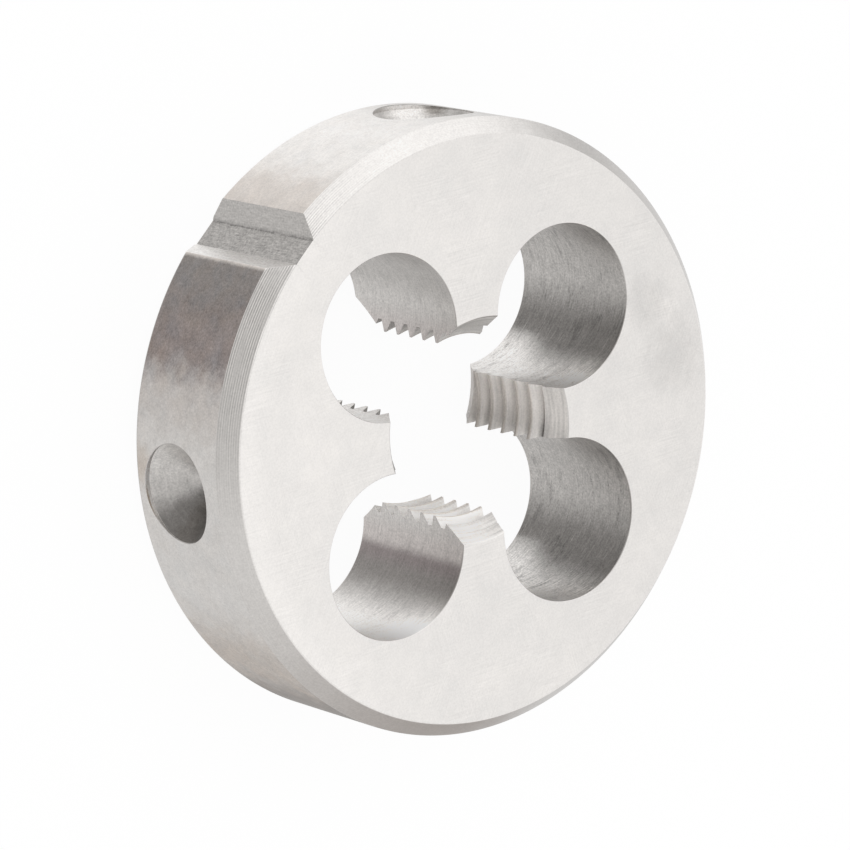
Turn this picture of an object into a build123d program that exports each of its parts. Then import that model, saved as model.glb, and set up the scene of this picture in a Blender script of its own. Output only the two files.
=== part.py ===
from build123d import *
import os
from math import ceil, floor, radians, sqrt, tan

# A round threading die: one hardened steel disc with a threaded bore, chip holes that
# break into the bore, an adjusting groove and set-screw dimples in its rim.
# Frame: origin on the disc's axis in its back face, +Z out of the marked front face,
# the adjusting groove towards -Y.

# Driving sizes in millimetres, angles in degrees

disc_diameter = 38.0
disc_thickness = 10.0
front_chamfer_width = 0.92
front_chamfer_height = 1.05
back_chamfer = 0.85

chip_hole_count = 4
chip_hole_diameter = 10.2
chip_hole_circle = 18.94

# Internal right-hand thread, from the pointed tips out to the flat-bottomed roots
thread_root_diameter = 12.7
thread_pitch = 1.27
thread_angle = 60.0
thread_tip_flat = 0.2
thread_root_flat = 0.32
thread_tip_height = 0.97  # height of a tip above the back face, at azimuth 0

# Tapered lead-in at each end of the thread: on each land, a cone whose axis is offset so
# that the land falls away from its cutting edge to its heel
lead_in_diameter = 13.85
lead_in_offset = 0.53
back_lead_in_diameter = 14.4
back_lead_in_offset = 1.0
lead_in_half_angle = 34.5
land_box_width = 4.8  # wider than a land, and inside the open space beside it

# Adjusting groove: a flat floor between sloping walls, along the whole rim
groove_azimuth = -90.0
groove_mouth = 4.05
groove_floor = 1.8
groove_depth = 1.0

# Set-screw dimples in the rim: a shallow collar that ends in a cone
dimple_azimuths = (-136.8, -40.0)
dimple_diameter = 6.1
dimple_collar = 0.32
dimple_cone_angle = 90.0
dimple_below_middle = 0.4

# How far a cutting solid runs past the surface that it cuts
overrun = 1.0

# Sizes worked out from the driving sizes

disc_radius = disc_diameter / 2
root_radius = thread_root_diameter / 2
flank_slope = tan(radians(thread_angle / 2))
thread_depth = (thread_pitch - thread_tip_flat - thread_root_flat) / (2 * flank_slope)
tip_radius = root_radius - thread_depth


def blank():
    """The turned disc: a profile from the axis to the rim, with a chamfer at each face."""
    profile = Polyline(
        (0, 0),
        (disc_radius - back_chamfer, 0),
        (disc_radius, back_chamfer),
        (disc_radius, disc_thickness - front_chamfer_height),
        (disc_radius - front_chamfer_width, disc_thickness),
        (0, disc_thickness),
        close=True,
    )
    return revolve(Plane.XZ * make_face(profile), Axis.Z)


def bore():
    """The plain hole that the thread is cut in, as wide as the thread's tips."""
    return Cylinder(
        tip_radius,
        disc_thickness + 2 * overrun,
        align=(Align.CENTER, Align.CENTER, Align.MIN),
    ).moved(Location((0, 0, -overrun)))


def chip_holes():
    """Round holes on a circle about the bore, the first at azimuth 0."""
    hole = Cylinder(
        chip_hole_diameter / 2,
        disc_thickness + 2 * overrun,
        align=(Align.CENTER, Align.CENTER, Align.MIN),
    ).moved(Location((0, 0, -overrun)))
    return [
        place * hole for place in PolarLocations(chip_hole_circle / 2, chip_hole_count)
    ]


def lead_ins():
    """Cones at the mouths of the bore, wide at the face and closing towards the thread.

    Each land has its own one at each face, kept to a box round the land. Its axis is offset
    towards the heel, which is the land's clockwise side when seen from the face it opens in.
    """
    slope = tan(radians(lead_in_half_angle))

    def cutter(diameter, offset):
        length = diameter / 2 / slope
        profile = Polyline(
            (0, -overrun), (diameter / 2 + overrun * slope, -overrun), (0, length), close=True
        )
        cone = revolve(Plane.XZ * make_face(profile), Axis.Z)
        land_box = Box(
            diameter,
            land_box_width,
            length + 2 * overrun,
            align=(Align.MIN, Align.CENTER, Align.MIN),
        ).moved(Location((0, 0, -overrun)))
        return cone.moved(Location((0, offset, 0))) & land_box

    upside_down = Location((0, 0, disc_thickness), (180, 0, 0))
    front = upside_down * cutter(lead_in_diameter, lead_in_offset)
    back = cutter(back_lead_in_diameter, back_lead_in_offset)
    first_land = 180 / chip_hole_count
    lands = PolarLocations(0, chip_hole_count, start_angle=first_land)
    return [place * cutter for place in lands for cutter in (back, front)]


def thread_turns():
    """The thread's groove, one solid for each turn, from below the back face to above the front.

    Each turn starts and ends at azimuth 0, inside the first chip hole, so that neighbouring
    turns meet in the open. The groove's section is a trapezoid: the flat root, two flanks
    down to just inside the tips, and a straight stretch inside the bore.
    """
    inside = tip_radius - thread_tip_flat / 4
    innermost = tip_radius - thread_depth

    def half_width(radius):
        return thread_root_flat / 2 + (root_radius - radius) * flank_slope

    def turn(height):
        section = Polyline(
            (root_radius, height - half_width(root_radius)),
            (root_radius, height + half_width(root_radius)),
            (inside, height + half_width(inside)),
            (innermost, height + half_width(inside)),
            (innermost, height - half_width(inside)),
            (inside, height - half_width(inside)),
            close=True,
        )
        path = Helix(thread_pitch, thread_pitch, root_radius).moved(Location((0, 0, height)))
        return sweep(Plane.XZ * make_face(section), path=path, is_frenet=True)

    first_root = thread_tip_height - thread_pitch / 2
    lowest = floor((-overrun - first_root) / thread_pitch) - 1
    highest = ceil((disc_thickness + overrun - first_root) / thread_pitch)
    return [turn(first_root + n * thread_pitch) for n in range(lowest, highest)]


def adjusting_groove():
    """A prism along the rim: the floor is flat, and the walls slope out to the mouth and past it."""
    floor_radius = disc_radius - groove_depth
    mouth_radius = sqrt(disc_radius**2 - (groove_mouth / 2) ** 2)
    wall_slope = (groove_mouth - groove_floor) / 2 / (mouth_radius - floor_radius)
    outside = mouth_radius + overrun
    outside_half = groove_mouth / 2 + overrun * wall_slope
    section = Polyline(
        (floor_radius, -groove_floor / 2),
        (floor_radius, groove_floor / 2),
        (outside, outside_half),
        (outside, -outside_half),
        close=True,
    )
    prism = extrude(make_face(section), disc_thickness + 2 * overrun)
    return Location((0, 0, -overrun), (0, 0, groove_azimuth)) * prism


def dimple(azimuth):
    """A recess that points at the axis: a round collar from outside the rim, then a cone."""
    radius = dimple_diameter / 2
    cone_mouth = disc_radius - dimple_collar
    cone_tip = cone_mouth - radius / tan(radians(dimple_cone_angle / 2))
    profile = Polyline(
        (cone_tip, 0),
        (cone_mouth, radius),
        (disc_radius + overrun, radius),
        (disc_radius + overrun, 0),
        close=True,
    )
    cutter = revolve(make_face(profile), Axis.X)
    height = disc_thickness / 2 - dimple_below_middle
    return Location((0, 0, height), (0, 0, azimuth)) * cutter


def threading_die():
    """The blank with everything cut out of it, one kind of cut after the other, the thread last."""
    rim_cuts = [adjusting_groove()] + [dimple(azimuth) for azimuth in dimple_azimuths]
    body = blank() - ([bore()] + chip_holes())
    for cuts in (lead_ins(), rim_cuts, thread_turns()):
        body = body - cuts
    return body


os.makedirs("parts", exist_ok=True)
die = threading_die()
print(f"tips {2 * tip_radius:.3f} mm across, {die.volume:.0f} cubic mm")
export_step(die.solids()[0], "parts/threading_die.step")
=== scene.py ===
"""The looks of a round threading die: one hardened steel disc, modelled as one closed mesh."""

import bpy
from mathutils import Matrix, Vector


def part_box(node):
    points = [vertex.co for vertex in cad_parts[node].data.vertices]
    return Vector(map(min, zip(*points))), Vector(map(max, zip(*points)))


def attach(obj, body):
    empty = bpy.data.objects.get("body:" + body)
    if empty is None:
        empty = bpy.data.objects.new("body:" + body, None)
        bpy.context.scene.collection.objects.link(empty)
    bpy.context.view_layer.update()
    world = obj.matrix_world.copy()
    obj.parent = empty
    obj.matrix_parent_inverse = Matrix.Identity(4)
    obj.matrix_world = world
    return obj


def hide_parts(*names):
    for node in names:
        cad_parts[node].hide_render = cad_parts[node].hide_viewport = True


bl_info = {
    "name": "Round threading die",
    "version": (1, 0, 0),
    "blender": (4, 5, 0),
    "location": "View3D > Sidebar > Threading die",
    "description": "Makes a round threading die and a plain studio round it",
    "category": "Object",
}

import bmesh
import bpy
import numpy as np
from bpy.props import FloatProperty, FloatVectorProperty, IntProperty, PointerProperty
from bpy.types import Operator, Panel, PropertyGroup
from mathutils import Matrix, Vector

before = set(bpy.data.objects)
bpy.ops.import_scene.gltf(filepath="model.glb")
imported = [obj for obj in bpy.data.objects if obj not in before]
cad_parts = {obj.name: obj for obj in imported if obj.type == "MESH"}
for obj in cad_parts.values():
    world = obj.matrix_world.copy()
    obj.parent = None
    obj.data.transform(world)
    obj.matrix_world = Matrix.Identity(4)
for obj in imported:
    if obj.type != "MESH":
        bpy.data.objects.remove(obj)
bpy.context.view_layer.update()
NODE = "threading_die"
low_corner, high_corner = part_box(NODE)

MM = 0.001
DEGREE = np.pi / 180
FULL_TURN = 2 * np.pi
HOLE_COUNT = 4
HOLE_STEP = FULL_TURN / HOLE_COUNT


def length(name, description, millimetres, precision=3):
    """A property that holds a length, with its default given in millimetres."""
    return FloatProperty(
        name=name,
        description=description,
        default=millimetres * MM,
        min=0.0,
        precision=precision,
        unit="LENGTH",
    )


def angle(name, description, degrees):
    """A property that holds an angle, with its default given in degrees."""
    return FloatProperty(
        name=name,
        description=description,
        default=degrees * DEGREE,
        unit="ROTATION",
    )


def count(name, description, number, least):
    """A property that holds a number of faces."""
    return IntProperty(name=name, description=description, default=number, min=least)


def colour(name, description, value):
    """A property that holds a colour."""
    return FloatVectorProperty(
        name=name,
        description=description,
        default=value,
        size=3,
        subtype="COLOR",
        min=0.0,
        max=1.0,
    )


def steel_colour(shade, red=3, blue=-3):
    """A linear steel colour from its sRGB grey from 0 to 255, by the standard sRGB curve.

    The red and the blue say how far those two are from the grey.
    """
    srgb = np.array([shade + red, shade, shade + blue]) / 255
    linear = np.where(srgb <= 0.04045, srgb / 12.92, ((srgb + 0.055) / 1.055) ** 2.4)
    return tuple(float(value) for value in linear)


class DieSizes(PropertyGroup):
    """Real sizes of the die. The overall ones come from the frame."""

    diameter: length("Diameter", "Across the rim", (high_corner.x - low_corner.x) / MM)
    thickness: length(
        "Thickness", "From the back face to the front face", (high_corner.z - low_corner.z) / MM
    )
    front_chamfer_width: length(
        "Front chamfer width", "How far it cuts into the front face", 0.92
    )
    front_chamfer_height: length("Front chamfer height", "How far it runs down the rim", 1.05)
    back_chamfer: length(
        "Back chamfer", "Width and height of the chamfer at the back face", 0.85
    )
    edge_rounding: length("Edge rounding", "How far the broken edges are rounded", 0.07)

    hole_diameter: length("Chip hole diameter", "Across each chip hole", 10.2)
    hole_circle: length(
        "Chip hole circle", "Diameter of the circle through the holes' centres", 18.94
    )

    root_diameter: length("Thread root diameter", "Across the roots of the thread", 12.7)
    pitch: length("Pitch", "From one thread to the next, along the axis", 1.27)
    thread_angle: angle("Thread angle", "Between the two flanks of a thread", 60)
    tip_flat: length("Tip flat", "Width of a tooth's tip", 0.2)
    root_flat: length("Root flat", "Width of the flat between two teeth", 0.32)
    tip_height: length("Tip height", "Height of a tip over the back face, at azimuth 0", 0.97)
    lead_in_diameter: length(
        "Lead-in diameter", "Across the cone at the bore's front mouth", 13.85
    )
    lead_in_offset: length(
        "Lead-in offset", "How far each land's front cone is moved towards its heel", 0.53
    )
    back_lead_in_diameter: length(
        "Back lead-in diameter", "Across the cone at the bore's back mouth", 14.4
    )
    back_lead_in_offset: length("Back lead-in offset", "The same offset at the back face", 1.0)
    lead_in_half_angle: angle("Lead-in half angle", "Between the cone and the axis", 34.5)

    groove_azimuth: angle("Groove azimuth", "Where the adjusting groove is, over a chip hole", -90)
    groove_mouth: length("Groove mouth", "Width at the rim", 4.05)
    groove_floor: length("Groove floor", "Width of the flat floor", 1.8)
    groove_depth: length("Groove depth", "From the rim to the floor", 1.0)

    dimple_azimuths: FloatVectorProperty(
        name="Dimple azimuths",
        description="Where the two set-screw dimples are",
        default=(-136.8 * DEGREE, -40.0 * DEGREE),
        size=2,
        unit="ROTATION",
    )
    dimple_diameter: length("Dimple diameter", "Across a set-screw dimple", 6.1)
    dimple_collar: length("Dimple collar", "Depth of the straight wall before the cone", 0.32)
    dimple_cone_angle: angle("Dimple cone angle", "Full angle of the cone", 90)
    dimple_below_middle: length(
        "Dimple offset", "How far the dimples lie below the rim's middle", 0.4
    )


class DieColours(PropertyGroup):
    """Colours of the die; those of the dimples hold painted light and shade."""

    face: colour("Face", "The level ground faces", steel_colour(229))
    # Painted light in the first dimple's collar, with painted shade at its ends
    collar: colour("Collar", "The first dimple's collar in its middle", steel_colour(245))
    shaded_collar_ends: colour("Collar ends", "The same collar at its ends", steel_colour(192))
    # Painted light on the second dimple's collar by the back face
    second_collar: colour("Second collar", "The second dimple's collar", steel_colour(210))
    lit_second_collar_back: colour(
        "Second collar, back", "The same collar at its end by the back face", steel_colour(252)
    )
    # Painted shade on the broken edge round a dimple
    shaded_dimple_edge: colour("Dimple edge", "The broken edge round a dimple", steel_colour(188))


class DieMesh(PropertyGroup):
    """How finely the die is divided."""

    land_steps: count("Land steps", "Faces across a land", 34, least=4)
    hole_steps: count("Hole steps", "Faces round a chip hole", 96, least=24)
    edge_steps: count("Edge steps", "Faces over a rounded edge", 3, least=1)
    rim_steps: count("Rim steps", "Faces down the rim", 20, least=4)
    cone_steps: count("Cone steps", "Faces down a dimple's cone", 10, least=2)


class StudioSizes(PropertyGroup):
    """Where the camera stands, and the floor and the light."""

    lens: FloatProperty(name="Lens", description="Focal length", default=211.38, unit="CAMERA")
    sensor: FloatProperty(name="Sensor", description="Sensor width", default=36, unit="CAMERA")
    distance: length("Camera distance", "From the camera to the middle of the die", 305.736)
    azimuth: angle("Camera azimuth", "Direction of view, 0 looks along +Y", 25.42)
    elevation: angle("Camera elevation", "Height of the camera over the horizon", 50.52)
    roll: angle("Camera roll", "Turn of the camera about its direction of view", 103.46)
    floor_size: length("Floor size", "Width and depth of the floor", 3000)
    floor_colour: colour("Floor", "The floor as the light on the die sees it", (0.98, 0.98, 0.98))
    light_colour: colour("Light", "The light from all round", (1.0, 1.0, 1.0))
    aim: FloatVectorProperty(
        name="Aim",
        description="The point that is in the middle of the picture",
        default=(0.516 * MM, -0.030 * MM, 5.0 * MM),
        size=3,
        subtype="XYZ",
        unit="LENGTH",
    )


def polar(radius, azimuth, height):
    """Points from cylinder coordinates, as one array with x, y and z last."""
    radius, azimuth, height = np.broadcast_arrays(radius, azimuth, height)
    return np.stack([radius * np.cos(azimuth), radius * np.sin(azimuth), height], axis=-1)


def turn_from(azimuth, others):
    """How far other azimuths are from one, between minus and plus half a turn."""
    return (others - azimuth + np.pi) % FULL_TURN - np.pi


def rounded_corner(before, corner, after, size, steps):
    """A rounded corner of a profile.

    It is a quadratic curve that leaves each side at the given distance from the corner.
    """
    before, corner, after = (np.array(point, float) for point in (before, corner, after))
    start = corner + size * (before - corner) / np.linalg.norm(before - corner)
    end = corner + size * (after - corner) / np.linalg.norm(after - corner)
    t = np.linspace(0, 1, steps + 1)[:, None]
    return (1 - t) ** 2 * start + 2 * t * (1 - t) * corner + t**2 * end


def mouth_radius(sizes, azimuth, front):
    """The radius of a land's lead-in cone at its own face.

    The cone's axis is offset, so half its diameter changes by the offset times the sine of the
    azimuth from the land's middle. It is largest at the heel, which is the land's clockwise side
    as seen from the face that the lead-in opens in, and smallest at the cutting edge.
    """
    sideways = np.sin(azimuth % HOLE_STEP - HOLE_STEP / 2)
    front_radius = sizes.lead_in_diameter / 2 - sizes.lead_in_offset * sideways
    back_radius = sizes.back_lead_in_diameter / 2 + sizes.back_lead_in_offset * sideways
    return np.where(front, front_radius, back_radius)


class Bore:
    """The threaded wall of the bore as a function of azimuth: rows that follow the thread's helix.

    Each straight stretch of the thread's profile (tip, flank, root, flank) gives two rows: one
    where it starts, and one where it meets the lead-in cone, or at its nearer end if it doesn't.
    The radius is the larger one of the thread's and the cone's, and every row is held between
    the rounded edges of the two faces.
    """

    def __init__(self, sizes):
        self.sizes = sizes
        self.thickness = sizes.thickness
        self.edge = sizes.edge_rounding
        self.pitch = sizes.pitch
        self.flank = np.tan(sizes.thread_angle / 2)
        self.root = sizes.root_diameter / 2
        self.half_tip = sizes.tip_flat / 2
        self.tip = self.root - (self.pitch - sizes.tip_flat - sizes.root_flat) / 2 / self.flank
        self.tip_height = sizes.tip_height
        self.cone = np.tan(sizes.lead_in_half_angle)

        first = np.floor(-(self.tip_height + 2 * self.pitch) / self.pitch)
        last = np.ceil((self.thickness - self.tip_height) / self.pitch)
        turns = self.tip_height + self.pitch * np.arange(first, last + 1)
        half_root = sizes.root_flat / 2
        marks = np.array(
            [
                -self.half_tip,
                self.half_tip,
                self.pitch / 2 - half_root,
                self.pitch / 2 + half_root,
                self.pitch - self.half_tip,
            ]
        )
        starts = (turns[:, None] + marks[:-1]).ravel()
        ends = (turns[:, None] + marks[1:]).ravel()
        start_radii = np.tile([self.tip, self.tip, self.root, self.root], len(turns))
        end_radii = np.tile([self.tip, self.root, self.root, self.tip], len(turns))
        self.start = np.repeat(starts, 2)[:, None]
        self.end = np.repeat(ends, 2)[:, None]
        self.start_radius = np.repeat(start_radii, 2)[:, None]
        self.slope = np.repeat((end_radii - start_radii) / (ends - starts), 2)[:, None]
        self.meets_cone = (np.arange(len(self.start)) % 2 == 1)[:, None]

    def thread_radius(self, height):
        """The thread's radius at a height at azimuth 0.

        It is the tip's, plus the climb up the flank at that distance from the nearest tip, and at
        most the root's.
        """
        from_tip = (height - self.tip_height + self.pitch / 2) % self.pitch - self.pitch / 2
        climb = (np.abs(from_tip) - self.half_tip) / self.flank
        return np.clip(self.tip + climb, self.tip, self.root)

    def cone_radius(self, height, azimuth):
        """The lead-in cone's radius: the mouth's, less the slope times the depth below its face."""
        depth = np.minimum(height, self.thickness - height)
        front = height > self.thickness / 2
        return mouth_radius(self.sizes, azimuth, front) - self.cone * depth

    def __call__(self, azimuth):
        """Radius and height of every row (first axis) at an azimuth."""
        rise = self.pitch * azimuth / FULL_TURN
        start, end = self.start + rise, self.end + rise
        front = start + end > self.thickness
        mouth = mouth_radius(self.sizes, azimuth, front)
        cone_at_zero = mouth - np.where(front, self.cone * self.thickness, 0)
        cone_slope = np.where(front, self.cone, -self.cone)
        thread_at_zero = self.start_radius - self.slope * start
        meeting = (cone_at_zero - thread_at_zero) / (self.slope - cone_slope)
        height = np.where(self.meets_cone, np.clip(meeting, start, end), start)
        height = np.clip(height, self.edge, self.thickness - self.edge)
        radius = np.maximum(self.thread_radius(height - rise), self.cone_radius(height, azimuth))
        return radius, height


EDGE_PASSES = 5  # rounds of the search for a land's edge, which moves with the radius there


def clover_rows(wall, hole_radius, sizes, mesh):
    """Closed rows of points round the bore and the chip holes, anticlockwise from the first land.

    On a land, a row follows wall(azimuth) from one chip hole's edge to the next one's. The edge is
    where the two circles cross, by the rule of cosines. In a chip hole, the row goes round the
    hole's far side: its angle about the hole's axis and its height run evenly between the edges
    of the two lands, so the rows of a thread join up.
    """
    circle = sizes.hole_circle / 2
    across = np.linspace(0, 1, mesh.land_steps + 1)
    around = np.linspace(0, 1, mesh.hole_steps + 1)[1:-1]

    def edge(hole, side):
        azimuth = np.full(hole_radius.shape, hole * HOLE_STEP + side * HOLE_STEP / 3)
        for _ in range(EDGE_PASSES):
            radius, _height = wall(azimuth)
            cosine = (radius**2 + circle**2 - hole_radius**2) / (2 * radius * circle)
            azimuth = hole * HOLE_STEP + side * np.arccos(cosine)
        return azimuth

    lands = []
    for hole in range(HOLE_COUNT):
        first, last = edge(hole, 1), edge(hole + 1, -1)
        azimuth = first + (last - first) * across
        radius, height = wall(azimuth)
        lands.append(polar(radius, azimuth, height))

    rows = []
    for hole in range(HOLE_COUNT):
        turn = (hole + 1) * HOLE_STEP
        out = np.array([np.cos(turn), np.sin(turn)])
        side = np.array([-np.sin(turn), np.cos(turn)])
        ends = lands[hole][:, -1], lands[(hole + 1) % HOLE_COUNT][:, 0]
        angles = [
            np.arctan2(end[:, :2] @ side, end[:, :2] @ out - circle)[:, None] for end in ends
        ]
        heights = [end[:, 2:] for end in ends]
        about = angles[0] + (angles[1] - angles[0]) * around
        height = heights[0] + (heights[1] - heights[0]) * around
        outward = circle + hole_radius * np.cos(about)
        sideways = hole_radius * np.sin(about)
        flat = outward[..., None] * out + sideways[..., None] * side
        rows += [lands[hole], np.concatenate([flat, height[..., None]], axis=-1)]
    return np.concatenate(rows, axis=1)


def mouth_rows(sizes, mesh, grow, drop, front):
    """Rows of the clover at a face: its outline grown by some distances, each at its depth."""
    cone = np.tan(sizes.lead_in_half_angle)
    grow, drop = (np.array(values, float)[:, None] for values in (grow, drop))
    height = sizes.thickness - drop if front else drop

    def wall(azimuth):
        radius = mouth_radius(sizes, azimuth, front) + grow - cone * drop
        return radius, np.broadcast_to(height, azimuth.shape)

    return clover_rows(wall, sizes.hole_diameter / 2 + grow, sizes, mesh)


FLOOR_STEPS = 3  # stations from the middle of the groove to the corner of its floor
MOUTH_STEPS = 8  # stations from the middle of the groove to its mouth
GROOVE_REACH = 10 * DEGREE  # past the groove's mouth, as an angle from its middle
LAND_SHARE = 1 / 9  # how much of the rim has its stations over the lands
ROUNDING = 1e-6  # more than the rounding errors of an angle


class Rim:
    """The outside of the disc: a radius for each azimuth, smaller in the adjusting groove."""

    def __init__(self, sizes, mesh):
        self.radius = sizes.diameter / 2
        self.azimuth = sizes.groove_azimuth
        self.depth_radius = self.radius - sizes.groove_depth
        self.half_floor = sizes.groove_floor / 2
        half_mouth = sizes.groove_mouth / 2
        to_mouth = np.sqrt(self.radius**2 - half_mouth**2)
        self.wall = np.array([to_mouth - self.depth_radius, half_mouth - self.half_floor])
        self.edge = sizes.edge_rounding / 10
        self.mesh = mesh

    def crossing(self, radius):
        """Half the groove's width, as an angle, where a circle meets its sloping wall.

        The way up the wall is the root of a quadratic: the squared distance of a point of the
        wall from the axis is the circle's.
        """
        base = np.array([self.depth_radius, self.half_floor])
        a, b, c = self.wall @ self.wall, 2 * base @ self.wall, base @ base - radius**2
        way = max(0, (-b + np.sqrt(b * b - 4 * a * c)) / (2 * a))
        return np.arctan2(base[1] + way * self.wall[1], base[0] + way * self.wall[0])

    def stations(self, radius):
        """Azimuth of each station of a row on a circle.

        The stations are even over the lands and holes, and over the groove's hole they are fitted
        to the groove's corners.
        """
        half_land = HOLE_STEP * LAND_SHARE / 2
        half_hole = HOLE_STEP / 2 - half_land
        across = np.linspace(-1, 1, self.mesh.land_steps + 1) * half_land
        half_steps = self.mesh.hole_steps // 2
        index = np.arange(1 - half_steps, half_steps)
        even = index / half_steps * half_hole
        mouth = self.crossing(radius)
        marks = [0, FLOOR_STEPS, MOUTH_STEPS, MOUTH_STEPS + 1, half_steps]
        floor = np.arctan2(self.half_floor, self.depth_radius)
        fitted_to = [0, floor, mouth - self.edge / radius, mouth + self.edge / radius, half_hole]
        fitted = np.sign(index) * np.interp(np.abs(index), marks, fitted_to)
        groove_hole = round(self.azimuth / HOLE_STEP) % HOLE_COUNT
        stations = []
        for hole in range(HOLE_COUNT):
            turn = (hole + 1) * HOLE_STEP
            at_groove = (hole + 1) % HOLE_COUNT == groove_hole
            stations += [turn - HOLE_STEP / 2 + across, turn + (fitted if at_groove else even)]
        return np.concatenate(stations)

    def rows(self, profile):
        """Closed rows for (radius, height) pairs of the disc's profile.

        Each is cut back to the groove where it crosses it: to the flat floor, whose radius is the
        floor's distance over the cosine, or to the sloping wall, a line in the same coordinates.
        """
        made = []
        for radius, height in profile:
            azimuth = self.stations(radius)
            near = np.minimum(np.abs(turn_from(self.azimuth, azimuth)), GROOVE_REACH)
            floor = self.depth_radius / np.cos(near)
            base_cross_wall = self.depth_radius * self.wall[1] - self.half_floor * self.wall[0]
            wall = base_cross_wall / (np.cos(near) * self.wall[1] - np.sin(near) * self.wall[0])
            inside = near <= np.arctan2(self.half_floor, self.depth_radius) + ROUNDING
            cut_back = np.minimum(radius, np.where(inside, floor, wall))
            made.append(polar(cut_back, azimuth, height))
        return np.array(made)


WINDOW_SHARES = (0, 0.4, 0.75, 0.93, 1)  # rows on the way from a window's border to its dimple


def dimple_rows(sizes, mesh, azimuth, border):
    """Closed rows from a window in the rim down to the tip of a set-screw dimple.

    Each point of the window's border sets an angle about the dimple's axis. The first rows run
    over the rim from the border to the dimple's mouth, and the others down the collar and the cone.
    """
    rim = sizes.diameter / 2
    centre = sizes.thickness / 2 - sizes.dimple_below_middle
    arc = turn_from(azimuth, np.arctan2(border[:, 1], border[:, 0]))
    rise = border[:, 2] - centre
    about = np.arctan2(rise, rim * np.sin(arc))
    edge = sizes.edge_rounding / 2
    mouth = sizes.dimple_diameter / 2 + edge
    t = np.array(WINDOW_SHARES)[:, None]
    mouth_arc = np.arcsin(mouth * np.cos(about) / rim)
    mouth_rise = mouth * np.sin(about)
    on_rim = polar(
        rim, azimuth + arc + (mouth_arc - arc) * t, centre + rise + (mouth_rise - rise) * t
    )

    radius = sizes.dimple_diameter / 2
    out_at_mouth = np.sqrt(rim**2 - (radius * np.cos(about)) ** 2)
    collar_end = rim - sizes.dimple_collar
    depth = radius / np.tan(sizes.dimple_cone_angle / 2)
    down = np.linspace(0, 1, mesh.cone_steps + 1)[:, None]
    cone = collar_end - depth * down * np.ones_like(about)
    outward = np.concatenate([out_at_mouth[None] - edge, cone])
    share = np.concatenate([[[1.0]], 1 - down])
    sideways = radius * share * np.cos(about)
    height = centre + radius * share * np.sin(about)
    out = np.array([np.cos(azimuth), np.sin(azimuth), 0])
    side = np.array([-np.sin(azimuth), np.cos(azimuth), 0])
    up = np.array([0, 0, 1])
    inside = outward[..., None] * out + sideways[..., None] * side + height[..., None] * up
    return np.concatenate([on_rim, inside])


def grid_faces(rows, columns, wrap_rows, first=0):
    """Corner numbers of the faces of a grid whose rows are closed.

    The last row is joined to the first one too if asked.
    """
    down = np.arange(rows if wrap_rows else rows - 1)[:, None]
    across = np.arange(columns)
    below, right = (down + 1) % rows, (across + 1) % columns
    corners = [
        row * columns + column
        for row, column in ((down, across), (below, across), (below, right), (down, right))
    ]
    return first + np.stack(np.broadcast_arrays(*corners), axis=-1)


# Flat strips beside the broken edges, as multiples of the edge rounding
FACE_MARGIN = 4.0  # on a face, round the bore's mouth and inside the chamfer
WINDOW_TOP = 6.0  # on the rim, from the front chamfer to the windows of the dimples
WINDOW_BOTTOM = 4.5  # on the rim, from those windows to the back chamfer
WINDOW_SIDE = 6.0  # on the rim, beside a dimple
WINDOW_SLACK = 1.5 * DEGREE  # and this much more, so that a window ends between stations


def disc_profile(sizes, mesh):
    """The disc's outline from the front face to the back face, as (radius, height) points.

    It has one point on each face, the four rounded corners of the chamfers, and between them the
    even rows of the rim that the windows of the dimples are cut in.
    """
    edge, thickness, radius = sizes.edge_rounding, sizes.thickness, sizes.diameter / 2
    margin = FACE_MARGIN * edge
    front_edge = (radius - sizes.front_chamfer_width, thickness)
    front_rim = (radius, thickness - sizes.front_chamfer_height)
    back_rim = (radius, sizes.back_chamfer)
    back_edge = (radius - sizes.back_chamfer, 0)
    corners = [(0, thickness), front_edge, front_rim, back_rim, back_edge, (0, 0)]
    rounded = [rounded_corner(*corners[n : n + 3], edge, mesh.edge_steps) for n in range(4)]
    window_top = front_rim[1] - WINDOW_TOP * edge
    window_bottom = back_rim[1] + WINDOW_BOTTOM * edge
    window = np.linspace(window_top, window_bottom, mesh.rim_steps + 1)
    on_rim = np.stack([np.full(len(window), radius), window], axis=-1)
    on_front = [[front_edge[0] - margin, thickness]]
    on_back = [[back_edge[0] - margin, 0]]
    return np.concatenate([on_front, *rounded[:2], on_rim, *rounded[2:], on_back])


def finish_numbers(rim, mesh, shape, bore_faces, chamfer):
    """The number of the finish of each face of the die's grid.

    The bore's rows go over lands and chip holes in turn. The front chamfer begins at the given
    row, with the rim and the back chamfer after it and the groove across all three. All the
    others have the finish of the ground faces.
    """
    number = {finish: n for n, finish in enumerate(FINISHES)}
    numbers = np.full(shape, number[ground_face])
    on_land = np.arange(shape[1]) % (shape[1] // HOLE_COUNT) < mesh.land_steps
    numbers[:bore_faces] = np.where(on_land, number[tapped_thread], number[drilled_wall])
    corner = mesh.edge_steps + 1  # rows of a rounded corner
    rim_start = chamfer + corner + mesh.edge_steps
    rim_end = chamfer + 2 * corner + mesh.rim_steps + 1
    end = rim_end + corner + 1
    numbers[chamfer:end] = number[turned_chamfer]
    numbers[rim_start:rim_end] = number[turned_rim]
    turn = turn_from(rim.azimuth, rim.stations(rim.radius))
    middle = np.abs(turn + np.roll(turn, -1)) / 2
    numbers[chamfer:end, middle < rim.crossing(rim.radius)] = number[milled_groove]
    return numbers


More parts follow.
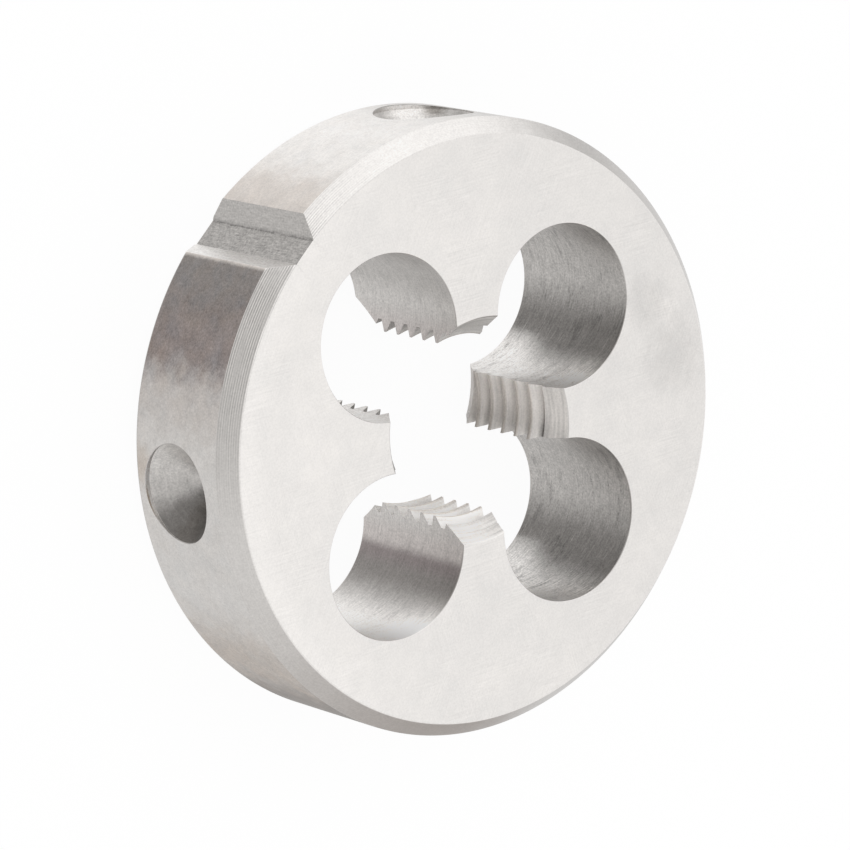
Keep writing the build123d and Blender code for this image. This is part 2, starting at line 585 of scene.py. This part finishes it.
def die_mesh(sizes, mesh):
    """The whole die as one closed grid: its points, the corners of its faces and their finishes.

    Its rows run up the bore, over the front face, down the rim and back over the back face to
    where they began. Two windows in the rim are left out and filled with the dimples' own grids.
    """
    edge = sizes.edge_rounding
    steps = np.linspace(0, 1, mesh.edge_steps + 1)[1:]
    grow = np.append(edge * steps**2, FACE_MARGIN * edge)
    drop = np.append(edge * (1 - steps) ** 2, 0)
    bore, rim = Bore(sizes), Rim(sizes, mesh)
    hole_radius = np.full((len(bore.start), 1), sizes.hole_diameter / 2)
    bore_rows = clover_rows(bore, hole_radius, sizes, mesh)
    front_mouth = mouth_rows(sizes, mesh, grow, drop, front=True)
    back_mouth = mouth_rows(sizes, mesh, grow, drop, front=False)
    rim_rows = rim.rows(disc_profile(sizes, mesh))
    rows = np.concatenate([bore_rows, front_mouth, rim_rows, back_mouth[::-1]])

    shape = rows.shape[:2]
    chamfer = len(bore_rows) + len(front_mouth) + 1  # its first row
    numbers = finish_numbers(rim, mesh, shape, len(bore_rows) - 1, chamfer)
    top = chamfer + 2 * (mesh.edge_steps + 1)
    bottom = top + mesh.rim_steps
    half_width = sizes.dimple_diameter / 2 + WINDOW_SIDE * edge
    half_window = np.arcsin(half_width / rim.radius) + WINDOW_SLACK
    stations = rim.stations(rim.radius)
    kept = np.ones(shape, bool)
    points, faces, finishes = [rows.reshape(-1, 3)], [], []
    for azimuth in sizes.dimple_azimuths:
        inside = np.flatnonzero(np.abs(turn_from(azimuth, stations)) < half_window)
        left, right = inside[0], inside[-1]
        kept[top:bottom, left:right] = False
        border = np.concatenate(
            [
                rows[top, left:right],
                rows[top:bottom, right],
                rows[bottom, right:left:-1],
                rows[bottom:top:-1, left],
            ]
        )
        patch = dimple_rows(sizes, mesh, azimuth, border)
        patch_faces = grid_faces(*patch.shape[:2], wrap_rows=False, first=sum(map(len, points)))
        patch_finish = np.full(patch_faces.shape[:2], FINISHES.index(dimple))
        patch_finish[: len(WINDOW_SHARES) - 1] = FINISHES.index(turned_rim)
        points.append(patch.reshape(-1, 3))
        faces.append(patch_faces.reshape(-1, 4))
        finishes.append(patch_finish.ravel())
    faces.insert(0, grid_faces(*shape, wrap_rows=True)[kept])
    finishes.insert(0, numbers[kept])
    return np.concatenate(points), np.concatenate(faces), np.concatenate(finishes)


SHARP_ANGLE = 28 * DEGREE  # an edge is steep from here on
LEVEL = 1 - 1e-5  # a face is level from this upward part of its normal on
MERGE_DISTANCE = 2e-4 * MM  # points nearer than this are one
SMOOTHING_WEIGHT = 80  # how far large faces outweigh small ones in the shading


def mark_sharp_edges(work):
    """Keep smooth shading from running over a steep edge, round a level face or in the groove."""
    groove = FINISHES.index(milled_groove)
    for edge in work.edges:
        level = {abs(face.normal.z) > LEVEL for face in edge.link_faces}
        in_groove = any(face.material_index == groove for face in edge.link_faces)
        gentle = edge.calc_face_angle(0) < SHARP_ANGLE
        edge.smooth = gentle and len(level) == 1 and not in_groove


class THREADINGDIE_OT_die(Operator):
    """Make the die as one closed mesh with its finishes, in place of the plain solid"""

    bl_idname = "threading_die.die"
    bl_label = "Die"

    def execute(self, context):
        sizes, colours = context.scene.die_sizes, context.scene.die_colours
        points, faces, finishes = die_mesh(sizes, context.scene.die_mesh)
        data = bpy.data.meshes.new("die")
        data.from_pydata(points, [], faces)
        for finish in FINISHES:
            data.materials.append(finish(sizes, colours))
        data.polygons.foreach_set("material_index", finishes)
        work = bmesh.new()
        work.from_mesh(data)
        bmesh.ops.remove_doubles(work, verts=work.verts, dist=MERGE_DISTANCE)
        bmesh.ops.recalc_face_normals(work, faces=work.faces)
        mark_sharp_edges(work)
        open_edges = [edge for edge in work.edges if not edge.is_manifold]
        if open_edges:
            raise RuntimeError(f"the die's mesh has {len(open_edges)} open edges")
        work.to_mesh(data)
        work.free()
        data.polygons.foreach_set("use_smooth", np.ones(len(data.polygons), bool))
        data.update()
        die = bpy.data.objects.new("die", data)
        context.scene.collection.objects.link(die)
        smooth = die.modifiers.new("even shading", "WEIGHTED_NORMAL")
        smooth.keep_sharp = True
        smooth.weight = SMOOTHING_WEIGHT
        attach(die, "root")
        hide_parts(NODE)
        return {"FINISHED"}


class Wire:
    """A socket with Python's operators for its maths: each one adds a Math node."""

    def __init__(self, tree, socket):
        self.tree, self.socket = tree, socket

    def __add__(self, other):
        return self.tree.math("ADD", self, other)

    def __sub__(self, other):
        return self.tree.math("SUBTRACT", self, other)

    def __rsub__(self, other):
        return self.tree.math("SUBTRACT", other, self)

    def __mul__(self, other):
        return self.tree.math("MULTIPLY", self, other)

    def __truediv__(self, other):
        return self.tree.math("DIVIDE", self, other)

    __radd__, __rmul__ = __add__, __mul__

    def __abs__(self):
        return self.tree.math("ABSOLUTE", self)

    def __or__(self, other):
        """The larger of the two."""
        return self.tree.math("MAXIMUM", self, other)

    def rise(self, low, high):
        """0 below one value and 1 above the other, with a smooth step between them."""
        limits = {"Value": self, "From Min": low, "From Max": high}
        return self.tree.add("ShaderNodeMapRange", {"interpolation_type": "SMOOTHSTEP"}, limits)

    def bump(self, low, high):
        """1 in the middle between two values, and down to 0 smoothly at both."""
        middle = (low + high) / 2
        return self.rise(low, middle) * (1 - self.rise(middle, high))


# A Mix node has sockets of the same name for each kind of value, so its colours go by number
MIX_FIRST_COLOUR, MIX_SECOND_COLOUR, MIX_COLOUR = 6, 7, 2


class Tree:
    """A node tree that nodes are added to, settings first and then the inputs of their sockets.

    Its owner is a material or a world, or the name of a new material.
    """

    def __init__(self, owner):
        self.owner = bpy.data.materials.new(owner) if isinstance(owner, str) else owner
        self.owner.use_nodes = True
        self.nodes, self.links = self.owner.node_tree.nodes, self.owner.node_tree.links
        self.nodes.clear()

    def add(self, kind, settings=None, inputs=None, output=0):
        """Add a node, and give back the output that is asked for, or None if that is None."""
        node = self.nodes.new(kind)
        for name, value in (settings or {}).items():
            if name == "stops":
                self.set_stops(node.color_ramp, value)
            else:
                setattr(node, name, value)
        for name, value in (inputs or {}).items():
            if isinstance(value, Wire):
                self.links.new(value.socket, node.inputs[name])
            else:
                node.inputs[name].default_value = value
        return None if output is None else Wire(self, node.outputs[output])

    def set_stops(self, ramp, stops):
        """Give a colour ramp its stops, each one a position and a colour."""
        ramp.interpolation = "EASE"
        while len(ramp.elements) < len(stops):
            ramp.elements.new(1)
        for element, (position, value) in zip(ramp.elements, stops):
            element.position, element.color = position, (*value, 1)

    def math(self, operation, *values):
        """A Math node on values and sockets."""
        return self.add("ShaderNodeMath", {"operation": operation}, dict(enumerate(values)))

    def vector_math(self, operation, inputs, output=0):
        return self.add("ShaderNodeVectorMath", {"operation": operation}, inputs, output)

    def parts(self, vector):
        """The x, y and z of a vector, or the red, green and blue of a colour."""
        sockets = self.add("ShaderNodeSeparateXYZ", inputs={"Vector": vector}).socket.node.outputs
        return [Wire(self, socket) for socket in sockets]

    def join(self, x, y, z):
        return self.add("ShaderNodeCombineXYZ", inputs={"X": x, "Y": y, "Z": z})

    def place(self):
        """Where a point is on the die, in millimetres."""
        metres = self.add("ShaderNodeTexCoord", output="Object")
        return self.vector_math("SCALE", {0: metres, "Scale": 1 / MM})

    def radius(self, x, y):
        """How far a point is from the die's axis."""
        return self.math("SQRT", x * x + y * y)

    def noise(self, vector, detail=2.0, scale=1.0):
        """Noise around 0, mostly between -0.25 and 0.25, with blobs about 1 / scale wide."""
        inputs = {"Vector": vector, "Scale": scale, "Detail": detail, "Roughness": 0.6}
        return self.add("ShaderNodeTexNoise", inputs=inputs) - 0.5

    def mix(self, factor, first, second):
        """A colour between two others, by a factor from 0 to 1."""
        first, second = (
            value if isinstance(value, Wire) else (*value, 1) for value in (first, second)
        )
        inputs = {0: factor, MIX_FIRST_COLOUR: first, MIX_SECOND_COLOUR: second}
        return self.add("ShaderNodeMix", {"data_type": "RGBA"}, inputs, output=MIX_COLOUR)

    def shaded(self, value, amount, warmth=0.0):
        """A colour made lighter or darker by a factor around 1, and warmer by an amount around 0.

        A positive warmth gives more red and less blue.
        """
        factors = self.join(amount + warmth, amount, amount - warmth)
        return self.vector_math("MULTIPLY", {0: value, 1: factors})

    def steel(self, tone, roughness, relief, depth, metallic=1.0):
        """Finish the material as steel with fine relief, so many millimetres deep."""
        bump = {"Height": relief, "Strength": 1.0, "Distance": depth * MM}
        inputs = {
            "Base Color": tone,
            "Metallic": metallic,
            "Roughness": roughness,
            "Normal": self.add("ShaderNodeBump", inputs=bump),
        }
        shader = self.add("ShaderNodeBsdfPrincipled", inputs=inputs)
        self.add("ShaderNodeOutputMaterial", inputs={"Surface": shader}, output=None)
        return self.owner


# Painted reflections and shade: the steel's tone by the direction that it faces round the axis:
# degrees, grey, and red and blue where it is tinted. The soft light and dark bands are painted in
# place of what a satin ground or drilled wall would reflect from its surroundings.
RIM_LIGHT_AND_SHADE = (
    (-180, 200),
    (-150, 208),
    (-122, 246),
    (-110, 240),
    (-100, 214, 7, -6),
    (-82, 131, 5, -3),
    (-67, 133, 9, -3),
    (-56, 192, 5, -4),
    (-47, 206),
    (-20, 204),
    (-2, 168, 9, -8),
    (14, 87, 12, -10),
    (56, 196),
    (180, 200),
)
WALL_LIGHT_AND_SHADE = (
    (-180, 195),
    (-140, 248),
    (-122, 246),
    (-88, 130),
    (-78, 127),
    (-44, 184),
    (-12, 183),
    (12, 202),
    (45, 203),
    (180, 195),
)
TINTED_WALL_LIGHT_AND_SHADE = (
    (-180, 195),
    (-140, 253),
    (-122, 250),
    (-78, 143, 4, -3),
    (-65, 141, 8, -1),
    (-56, 200, 6, -3),
    (-36, 210),
    (-14, 188),
    (18, 184),
    (180, 195),
)
GROOVE_LIGHT_AND_SHADE = (
    (-180, 200),
    (-128, 242),
    (-90, 172),
    (-52, 183),
    (0, 190),
    (180, 200),
)
DIMPLE_LIGHT_AND_SHADE = (
    (-180, 205),
    (-158, 196),
    (-129, 247),
    (-116, 246),
    (-105, 238),
    (-92, 196),
    (-86, 110, 4, -4),
    (-80, 118),
    (-47, 185),
    (0, 208),
    (30, 200),
    (180, 205),
)
SLOPING_LIGHT_AND_SHADE = (
    (-180, 193),
    (-165, 186),
    (-133, 244),
    (-118, 249),
    (-103, 240),
    (-78, 186),
    (-60, 183),
    (-30, 202),
    (40, 151, 7, -5),
    (63, 189),
    (90, 181),
    (136, 230),
    (160, 194),
    (180, 193),
)
THREAD_LIGHT_AND_SHADE = (
    (-180, 210),
    (-135, 250),
    (-90, 216),
    (-45, 203, 4, -4),
    (30, 190),
    (60, 182),
    (120, 146),
    (140, 146),
    (180, 210),
)

# Sizes of the fine patterns, in millimetres
SPECKLE = 0.12  # the finest grain
TURNING_FEED = 0.197  # from ring to ring on a chamfer, outwards and down taken together

# Scratches on the faces: the direction of each set in degrees, and how strong it is
SCRATCHES = ((18, 0.18), (-40, 0.27), (62, 0.16))

# Marks of use: where each one is on the die, and its size, in millimetres
GREY_SMUDGE = ((-13.8, 5.2, 10.0), 2.6)
GREY_SMUDGE_BESIDE = ((-12.6, 9.2, 10.0), 3.4)
RIM_STAIN = ((13.6, -13.3, 1.2), 1.9)
HOLE_BURR = ((-3.1, 5.6, 9.2), 1.2)
DIMPLE_STAIN = ((15.3, -11.25, 1.8), 1.7)
DIMPLE_SMEAR = ((-15.2, -11.0, 2.8), 1.1)


def facing(tree, wander=0.0, towards=None):
    """Where the way the surface faces falls on a ring of painted light and shade, and its upward
    part.

    The azimuth -180 is at 0 on the ring and 180 at 1. Noise moves the place by up to about a
    quarter of the wander, so that the bands have uneven edges. The direction is the surface's
    own one, or the one that is given.
    """
    east, north, up = tree.parts(tree.add("ShaderNodeTexCoord", output="Normal"))
    if towards:
        east, north = towards
    turn = tree.math("ARCTAN2", north, east) / FULL_TURN + 0.5
    if wander:
        turn = turn + tree.noise(tree.place(), scale=0.9, detail=5.0) * wander
    return turn, up


def ring(tree, turn, tones):
    """The painted light and shade at a place on a ring."""
    stops = [((azimuth + 180) / 360, steel_colour(*tone)) for azimuth, *tone in tones]
    return tree.add("ShaderNodeValToRGB", {"stops": stops}, {"Fac": turn})


def tilted(tree, tone, turn, up, level_tone):
    """An upright surface's painted light and shade, changed to the sloping ring's where it slopes.

    Where it is level, it has the tone of the faces.
    """
    tone = tree.mix(abs(up).rise(0.0, 0.62), tone, ring(tree, turn, SLOPING_LIGHT_AND_SHADE))
    return tree.mix(abs(up).rise(0.72, 0.97), tone, level_tone)


def streaks(tree, along, across, length, width, detail=3.0, seed=0.0):
    """Long thin noise, for lines that a tool leaves: stretched one way and tight across."""
    return tree.noise(tree.join(along / length + seed, across / width, 0.0), detail=detail)


def grain(tree, size=SPECKLE):
    """Fine speckle of about that size."""
    return tree.noise(tree.place(), detail=1.0, scale=1 / size)


def spot(tree, place, centre, size):
    """1 at a point of the die and 0 at that distance from it, with a ragged edge."""
    away = tree.vector_math("DISTANCE", {0: place, 1: centre}, output="Value")
    return 1 - (away / size + tree.noise(place, scale=1.2, detail=4.0)).rise(0.2, 1.0)


def ground_face(sizes, colours):
    """The flat faces: near white, with grain, blotches, crossing scratches and a grey smudge."""
    tree = Tree("ground_face")
    place = tree.place()
    x, y, _z = tree.parts(place)
    scratches = 0.0
    for direction, strength in SCRATCHES:
        c, s = float(np.cos(direction * DEGREE)), float(np.sin(direction * DEGREE))
        along, across = x * c + y * s, y * c - x * s
        lines = streaks(tree, along, across, length=2.5, width=0.11, seed=direction)
        patches = tree.noise(tree.join(x, y, direction), scale=0.3, detail=1.0).rise(-0.1, 0.2)
        scratches = scratches + lines * patches * strength
    broad, soft = tree.noise(place, scale=0.2), tree.noise(place, scale=0.8, detail=5.0)
    blotch = broad * 0.13 + soft * 0.08
    smudge = spot(tree, place, *GREY_SMUDGE) | spot(tree, place, *GREY_SMUDGE_BESIDE)
    # Painted light: the face is a little lighter towards +X and -Y, above all by the chamfer
    rim = sizes.diameter / 2 / MM
    # A painted highlight by the chamfer, on the side towards +X and -Y
    border = tree.radius(x, y).rise(rim - 3.2, rim - 1.2) * (x - y).rise(6.0, 20.0)
    light = (x - y) * 0.0018 + border * 0.04
    shade = 1 + scratches + blotch + grain(tree) * 0.18 + light - smudge * 0.10
    turn, up = facing(tree)
    tone = tilted(tree, ring(tree, turn, SLOPING_LIGHT_AND_SHADE), turn, up, colours.face)
    tone = tree.shaded(tone, shade, blotch * 0.08)
    return tree.steel(tone, roughness=0.32, relief=scratches, depth=0.004)


def turned_chamfer(sizes, colours):
    """The chamfers: painted bright, with even turning rings that show mostly beside the groove."""
    tree = Tree("turned_chamfer")
    place = tree.place()
    x, y, z = tree.parts(place)
    turn, up = facing(tree, wander=0.03)
    down = tree.radius(x, y) - z + tree.noise(place, scale=0.3) * 0.1
    rings = tree.math("SINE", down * (FULL_TURN / TURNING_FEED))
    patchy = streaks(tree, turn, down, length=1 / 40, width=0.4, detail=4.0).rise(-0.25, 0.15)
    rings = rings * patchy * (turn.bump(0.18, 0.40) * 0.35 + 0.02)
    rings = rings + streaks(tree, turn, down, length=1 / 20, width=0.08, detail=2.0) * 0.16
    mottle = tree.noise(place, scale=2.5, detail=3.0) * 0.12
    tone = tilted(tree, ring(tree, turn, SLOPING_LIGHT_AND_SHADE), turn, up, colours.face)
    tone = tree.shaded(tone, 1 + rings + mottle + grain(tree) * 0.3)
    return tree.steel(tone, roughness=0.34, relief=rings, depth=0.01)


def turned_rim(sizes, colours):
    """The outside of the disc: ground, with faint rings, and painted reflections mottled where
    dark.
    """
    tree = Tree("turned_rim")
    place = tree.place()
    x, y, z = tree.parts(place)
    turn, up = facing(tree, wander=0.03)
    tone = ring(tree, turn, RIM_LIGHT_AND_SHADE)
    _red, green, _blue = tree.parts(tone)
    # Where the painted reflection is dark, the rim is more mottled and browner
    dark = 1 - green.rise(0.2, 0.65)
    cloud = tree.noise(place, scale=0.8, detail=5.0) * (dark * 0.45 + 0.22)
    mottle = tree.noise(place, scale=3.0, detail=3.0) * (dark * 0.2 + 0.2)
    rings = streaks(tree, turn, z, length=1 / 12, width=0.2, detail=2.0)
    speckle = grain(tree) * (dark * 0.5 + 0.35)
    stain = spot(tree, place, *RIM_STAIN)
    brown = tree.noise(tree.join(x + 40, y, z), scale=0.7, detail=3.0) * (dark * 0.16 + 0.03)
    shade = 1 + cloud + mottle + rings * 0.08 + speckle - stain * 0.16
    tone = tree.shaded(tone, shade, brown + stain * 0.05)
    tone = tilted(tree, tone, turn, up, colours.face)
    return tree.steel(tone, roughness=0.38, relief=rings, depth=0.006)


def milled_groove(sizes, colours):
    """The adjusting groove: the cutter's streaks along the axis, speckle, painted shade in a
    corner.
    """
    tree = Tree("milled_groove")
    x, y, z = tree.parts(tree.place())
    lines = streaks(tree, z, x, length=0.8, width=0.09)
    turn, up = facing(tree)
    on_floor = turn.bump(0.2, 0.3)
    from_corner = abs(x + (sizes.groove_floor / 2 / MM - 0.02))  # on the floor, at its edge
    ragged = tree.noise(tree.place(), scale=2.5, detail=4.0) * 0.2
    # Painted shade along the corner of the floor and the upper wall
    corner = 1 - (from_corner + ragged).rise(0.0, 0.2)
    marks = (lines + grain(tree, 0.13)) * (on_floor * 0.45 + 0.6)
    tone = tilted(tree, ring(tree, turn, GROOVE_LIGHT_AND_SHADE), turn, up, colours.face)
    tone = tree.shaded(tone, 1 + marks - corner * 0.3)
    return tree.steel(tone, roughness=0.4, relief=lines, depth=0.02)


def towards_hole_axis(tree, sizes, x, y):
    """The way from a chip hole's wall straight to its axis, which is on the x or the y axis."""
    circle = sizes.hole_circle / 2 / MM
    on_x = tree.math("GREATER_THAN", abs(x), abs(y))
    east = tree.math("SIGN", x) * on_x * circle - x
    north = tree.math("SIGN", y) * (1 - on_x) * circle - y
    return east, north


def drilled_wall(sizes, colours):
    """The chip holes: satin, with drilling rings, darker arcs, mottle and light scores.

    The holes towards +X and -Y have the tinted ring of painted reflections, and fainter marks than
    the other two. In the other two, the painted bright band reaches further round near the back
    face.
    """
    tree = Tree("drilled_wall")
    place = tree.place()
    x, y, z = tree.parts(place)
    turn, up = facing(tree, wander=0.012, towards=towards_hole_axis(tree, sizes, x, y))
    # Painted reflections: the holes towards +X and -Y take the tinted ring, the others the plain
    # one
    tinted = (x - y).rise(-2.0, 2.0)
    # Painted light: in the plain holes the bright band reaches further round near the back face
    further = ((1 - z.rise(1.0, 5.0)) * 17 - 3) * (1 - turn.rise(0.25, 0.29)) - x * 0.35
    plain_tone = ring(tree, turn - further / 360, WALL_LIGHT_AND_SHADE)
    tone = tree.mix(tinted, plain_tone, ring(tree, turn, TINTED_WALL_LIGHT_AND_SHADE))

    slant = z + x * 0.12 + y * 0.07  # the drill's marks are not quite level

    def drill_marks(length, width, detail=2.0):
        return tree.noise(tree.join(x / length, y / length, slant / width), detail=detail)

    rings = drill_marks(0.9, 0.11, detail=3.0)
    arcs = 1 - abs(drill_marks(5.0, 0.9)).rise(0.0, 0.05)
    arcs = arcs * tree.noise(place, scale=0.5).rise(-0.05, 0.15) * (0.25 - tinted * 0.15)
    top = sizes.thickness / MM
    strokes = rings * turn.bump(0.13, 0.26) * z.rise(top - 6, top - 0.5) * (0.8 - tinted * 0.5)
    scores = drill_marks(1.8, 0.08).rise(0.12, 0.19) * turn.bump(0.22, 0.33)
    scores = scores * (0.5 - tinted * 0.4)
    mottle = tree.noise(place, scale=2.2, detail=4.0) * 0.24 + rings * 0.5 + grain(tree) * 0.6
    mottle = mottle * (1.35 - tinted * 0.4)
    # Painted light and shade: the band glows by the front face in the x axis holes, dims in the
    # others
    on_x = abs(x).rise(4.0, 8.0)
    band_painted_light = z.rise(top - 3.5, top - 0.5) * on_x * 0.3 - (1 - on_x) * 0.14
    band_painted_light = band_painted_light * turn.bump(0.08, 0.30)
    burr = spot(tree, place, *HOLE_BURR) * 0.35
    tone = tree.shaded(tone, 1 + mottle + strokes + band_painted_light + scores - burr - arcs)
    tone = tilted(tree, tone, turn, up, colours.face)
    return tree.steel(tone, roughness=0.45, relief=rings, depth=0.006)


LAST_ROOT = 5.5  # pitches from the first tip up to the last root before the front lead-in


def tapped_thread(sizes, colours):
    """The lands: flanks and lead-ins with turning lines along the helix, and dark tooth tips.

    The flanks that face down have painted shade, and away from the front lead-in the lands are
    painted lighter. The land towards -X and +Y is painted lighter still, with darker tips, a dark
    end and a painted shadow in its last root.
    """
    tree = Tree("tapped_thread")
    x, y, z = tree.parts(tree.place())
    radius, azimuth = tree.radius(x, y), tree.math("ARCTAN2", y, x)
    pitch, tip_radius = sizes.pitch / MM, Bore(sizes).tip / MM
    helix = z - azimuth * (pitch / FULL_TURN)  # the same all along a thread
    lines = streaks(tree, azimuth, helix, length=0.8, width=0.2)
    turn, up = facing(tree)
    tips = 1 - radius.rise(tip_radius + 0.01, tip_radius + 0.12)
    # Painted shade on the flanks that face down
    down_facing_shade = 1 - up.rise(-0.3, 0.0)
    far_land = (y - x).rise(0.0, 6.0)
    top = sizes.thickness / MM
    # Painted light: lighter away from the front lead-in, most on the land towards -X and +Y
    deep = (1 - z.rise(top - 2.2, top - 1.2)) * (far_land * 0.14 + 0.06)
    end = x.rise(-4.6, -3.2) * far_land
    last_root = sizes.tip_height / MM + LAST_ROOT * pitch
    # A painted shadow in the last root before the front lead-in, on that land
    last_root_shadow = helix.bump(last_root - 0.27, last_root + 0.25) * x.rise(-5.4, -3.6) * far_land
    light = 1.05 + far_land * 0.05 + deep + lines + grain(tree) * 0.35
    # Darker tips and end, with the painted shade and painted shadow
    shadow = tips * (far_land * 0.2 + 0.1) + down_facing_shade * 0.2 + end * 0.25 + last_root_shadow * 0.6
    tone = tree.shaded(ring(tree, turn, THREAD_LIGHT_AND_SHADE), light - shadow, tips * 0.03)
    return tree.steel(tone, roughness=0.6, relief=lines, depth=0.006, metallic=0.5)


def dimple(sizes, colours):
    """The set-screw dimples: mottled, with strokes round the cone and stains at the mouth."""
    tree = Tree("dimple")
    place = tree.place()
    x, y, z = tree.parts(place)
    turn, _up = facing(tree, wander=0.04)
    rim = sizes.diameter / 2 / MM
    collar_end = rim - sizes.dimple_collar / MM
    (c, s), (c2, s2) = ((float(np.cos(a)), float(np.sin(a))) for a in sizes.dimple_azimuths)
    second = x * c2 + y * s2
    out = (x * c + y * s) | second  # along the axis of the nearer dimple
    sideways = y * c - x * s  # across the first dimple

    # Painted light and shade on the collars: lighter in the first one's middle and by the back face
    ends = abs(sideways + 0.7).rise(0.6, 2.0)
    collar = tree.mix(ends, colours.collar, colours.shaded_collar_ends)
    upper = z.rise(1.6, 2.3)
    second_collar = tree.mix(upper, colours.lit_second_collar_back, colours.second_collar)
    collar = tree.mix(second.rise(rim - 3, rim - 2), collar, second_collar)
    # Painted shade on the broken edge round the mouth
    on_edge = tree.radius(x, y).rise(rim - 0.05, rim - 0.03)
    collar = tree.mix(on_edge, collar, colours.shaded_dimple_edge)
    on_collar = out.rise(collar_end - 0.008, collar_end + 0.002)
    tone = tree.mix(on_collar, ring(tree, turn, DIMPLE_LIGHT_AND_SHADE), collar)

    cloud = tree.noise(place, scale=1.8, detail=5.0)
    strokes = tree.noise(tree.join(out / 0.13, z / 1.2, (x + y) / 2), detail=2.0)
    stain = spot(tree, place, *DIMPLE_STAIN) * out.rise(rim - 0.16, rim - 0.06)
    smear = spot(tree, place, *DIMPLE_SMEAR) * out.rise(rim - 1.1, rim - 0.4)
    # Painted shade and light deeper in the cone: darker on its dark side, lighter on its bright
    # side
    deep_cone_light_and_shade = (1 - out.rise(rim - 3, rim - 0.8)) * (turn.rise(0.32, 0.48) * 0.35 - 0.15)
    shade = 1 + cloud * 0.35 + strokes * 0.4 + grain(tree) * 0.6 + deep_cone_light_and_shade
    tone = tree.shaded(tone, shade - stain * 0.5 - smear * 0.5, stain * 0.07 + smear * 0.02)
    return tree.steel(tone, roughness=0.5, relief=cloud, depth=0.01)


# The finishes in the order of the mesh's material slots
FINISHES = (
    ground_face,
    turned_chamfer,
    turned_rim,
    milled_groove,
    drilled_wall,
    tapped_thread,
    dimple,
)


def seen_directly(tree):
    """1 for the camera and for what mirrors or glass show, 0 for the light on the object."""
    path = tree.add("ShaderNodeLightPath").socket.node.outputs
    camera, glossy, through = (
        Wire(tree, path[name]) for name in ("Is Camera Ray", "Is Glossy Ray", "Is Transmission Ray")
    )
    return camera | glossy | through


WHITE = (1, 1, 1, 1)
SHOWN_WHITE = 0.95  # how much of the floor that the camera sees is plain white, the rest shaded


def white_floor(floor_colour):
    """A pale floor, white where the camera or a reflection sees it, that keeps the shadow."""
    tree = Tree("white_floor")
    pale = tree.add("ShaderNodeBsdfDiffuse", inputs={"Color": (*floor_colour, 1)})
    white = tree.add("ShaderNodeEmission", inputs={"Color": WHITE, "Strength": 1})
    shown = {"Fac": seen_directly(tree) * SHOWN_WHITE, 1: pale, 2: white}
    mixed = tree.add("ShaderNodeMixShader", inputs=shown)
    tree.add("ShaderNodeOutputMaterial", inputs={"Surface": mixed}, output=None)
    return tree.owner


def white_room(light_colour):
    """Plain soft light from all round, with a backdrop of the same colour."""
    tree = Tree(bpy.data.worlds.new("white_room"))
    light = {"Color": (*light_colour, 1), "Strength": 1}
    background = tree.add("ShaderNodeBackground", inputs=light)
    tree.add("ShaderNodeOutputWorld", inputs={"Surface": background}, output=None)
    return tree.owner


class THREADINGDIE_OT_studio(Operator):
    """Set up the camera, the floor and plain soft light"""

    bl_idname = "threading_die.studio"
    bl_label = "Studio"

    def execute(self, context):
        scene = context.scene
        studio = scene.die_studio
        lens = bpy.data.cameras.new("camera")
        lens.sensor_width = studio.sensor
        lens.lens = studio.lens
        camera = bpy.data.objects.new("camera", lens)
        scene.collection.objects.link(camera)
        scene.camera = camera
        a, e, roll = studio.azimuth, studio.elevation, studio.roll
        forward = Vector((-np.sin(a) * np.cos(e), np.cos(a) * np.cos(e), -np.sin(e)))
        level = Vector((np.cos(a), np.sin(a), 0))
        steep = level.cross(forward)
        right = level * np.cos(roll) + steep * np.sin(roll)
        up = steep * np.cos(roll) - level * np.sin(roll)
        turn = Matrix((right, up, -forward)).transposed().to_4x4()
        stand = Vector(studio.aim) - forward * studio.distance
        camera.matrix_world = Matrix.Translation(stand) @ turn

        floor_mesh = bpy.data.meshes.new("floor")
        half = studio.floor_size / 2
        corners = [(-half, -half, 0), (half, -half, 0), (half, half, 0), (-half, half, 0)]
        floor_mesh.from_pydata(corners, [], [range(len(corners))])
        floor = bpy.data.objects.new("floor", floor_mesh)
        scene.collection.objects.link(floor)
        floor_mesh.materials.append(white_floor(studio.floor_colour))
        scene.world = white_room(studio.light_colour)
        scene.view_settings.view_transform = "Standard"
        return {"FINISHED"}


class THREADINGDIE_PT_panel(Panel):
    """Lists the steps that make the die"""

    bl_label = "Threading die"
    bl_idname = "THREADINGDIE_PT_panel"
    bl_space_type = "VIEW_3D"
    bl_region_type = "UI"
    bl_category = "Threading die"

    def draw(self, context):
        self.layout.operator(THREADINGDIE_OT_die.bl_idname)
        self.layout.operator(THREADINGDIE_OT_studio.bl_idname)


CLASSES = (
    DieSizes,
    DieColours,
    DieMesh,
    StudioSizes,
    THREADINGDIE_OT_die,
    THREADINGDIE_OT_studio,
    THREADINGDIE_PT_panel,
)


def register():
    for cls in CLASSES:
        bpy.utils.register_class(cls)
    bpy.types.Scene.die_sizes = PointerProperty(type=DieSizes)
    bpy.types.Scene.die_colours = PointerProperty(type=DieColours)
    bpy.types.Scene.die_mesh = PointerProperty(type=DieMesh)
    bpy.types.Scene.die_studio = PointerProperty(type=StudioSizes)


def unregister():
    del bpy.types.Scene.die_studio
    del bpy.types.Scene.die_mesh
    del bpy.types.Scene.die_colours
    del bpy.types.Scene.die_sizes
    for cls in reversed(CLASSES):
        bpy.utils.unregister_class(cls)


def main():
    register()
    bpy.ops.threading_die.die()
    bpy.ops.threading_die.studio()


if __name__ == "__main__":
    main()
